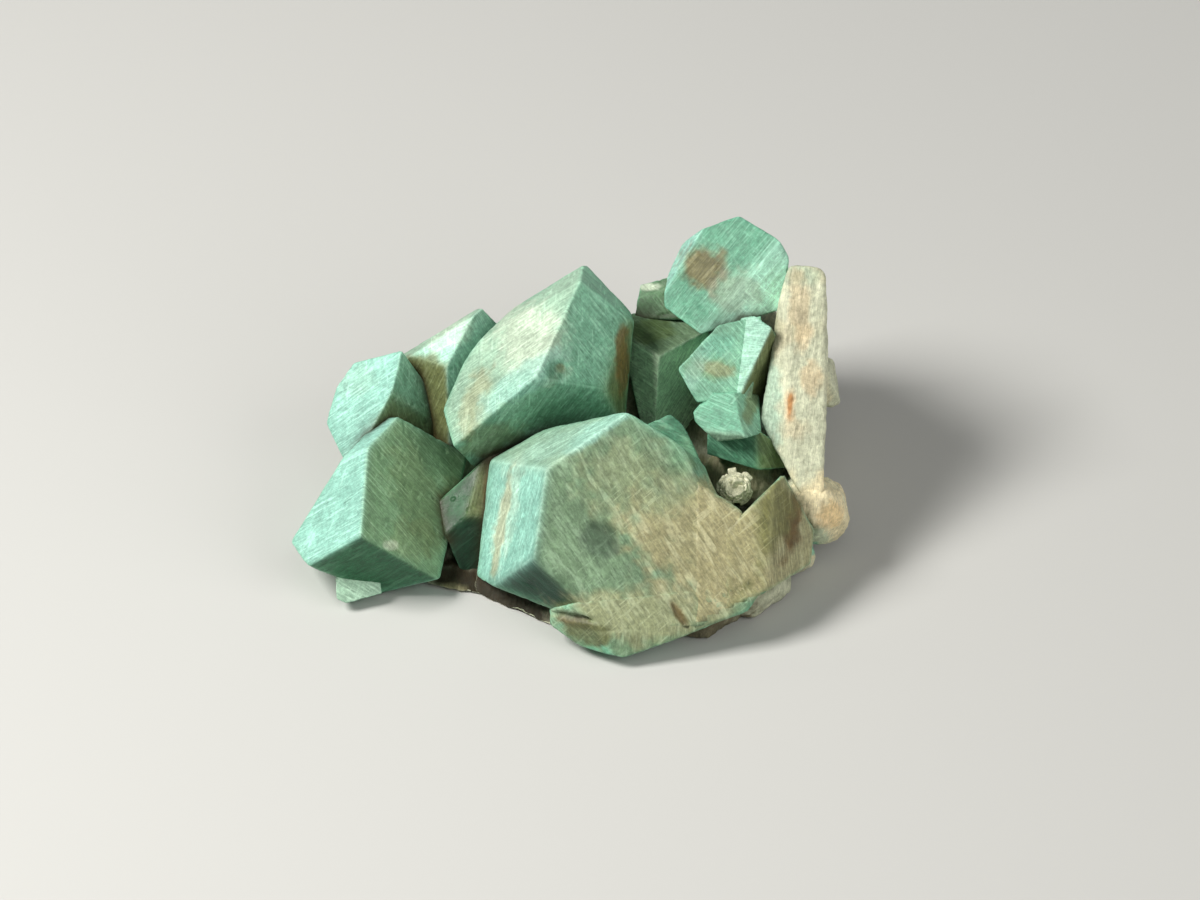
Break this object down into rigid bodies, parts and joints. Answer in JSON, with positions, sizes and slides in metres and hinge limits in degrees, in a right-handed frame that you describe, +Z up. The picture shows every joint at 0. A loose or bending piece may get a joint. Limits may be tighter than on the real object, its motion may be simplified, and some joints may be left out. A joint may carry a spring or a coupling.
{
  "type": "amazonite crystal cluster",
  "caption": "Blocky blue-green amazonite crystals grown together on pale feldspar matrix, with a tuft of white albite, cut flat to rest on.",
  "frame": {"origin": "centre of the bounding box on the base plane", "axes": "+X to the right across the specimen, +Y away from the viewer, +Z up; the flat cut lies at Z = 0"},
  "size_m": [0.1124, 0.09, 0.0576],
  "materials": {
    "amazonite": "satin, flat crystal faces with fine streaks",
    "matrix": "matte, rough broken rock",
    "albite": "satin, platy blades"
  },
  "bodies": {
    "root": {"amazonite_crystals": "amazonite", "pale_feldspar_matrix": "matrix", "albite_tuft": "albite"}
  },
  "joints": []
}
